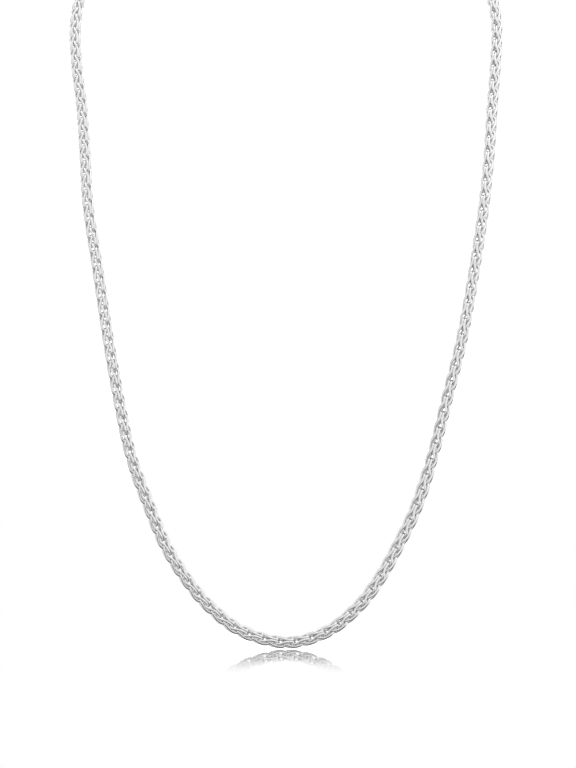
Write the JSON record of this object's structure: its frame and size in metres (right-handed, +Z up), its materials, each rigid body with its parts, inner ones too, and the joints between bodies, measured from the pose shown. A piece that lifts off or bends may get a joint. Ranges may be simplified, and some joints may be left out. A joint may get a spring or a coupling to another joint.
{
  "type": "wheat chain necklace",
  "caption": "Polished wheat chain necklace of interlocked folded links, hanging in its worn form, with a plain closed clasp and soldered end rings behind the neck.",
  "frame": {"origin": "the point on the nape of the neck that the middle of the clasp lies against, on the plane that the end rings just clear", "axes": "+Z up, the front of the necklace faces -Y, +X is to the right of someone who looks at its front"},
  "size_m": [0.1063, 0.0617, 0.1925],
  "materials": {
    "chain_silver": "polished silver wire",
    "fitting_silver": "polished cast and drawn silver"
  },
  "bodies": {
    "root": {"wheat_chain": "chain_silver", "end_ring_left": "fitting_silver", "end_ring_right": "fitting_silver", "clasp": "fitting_silver"}
  },
  "joints": []
}
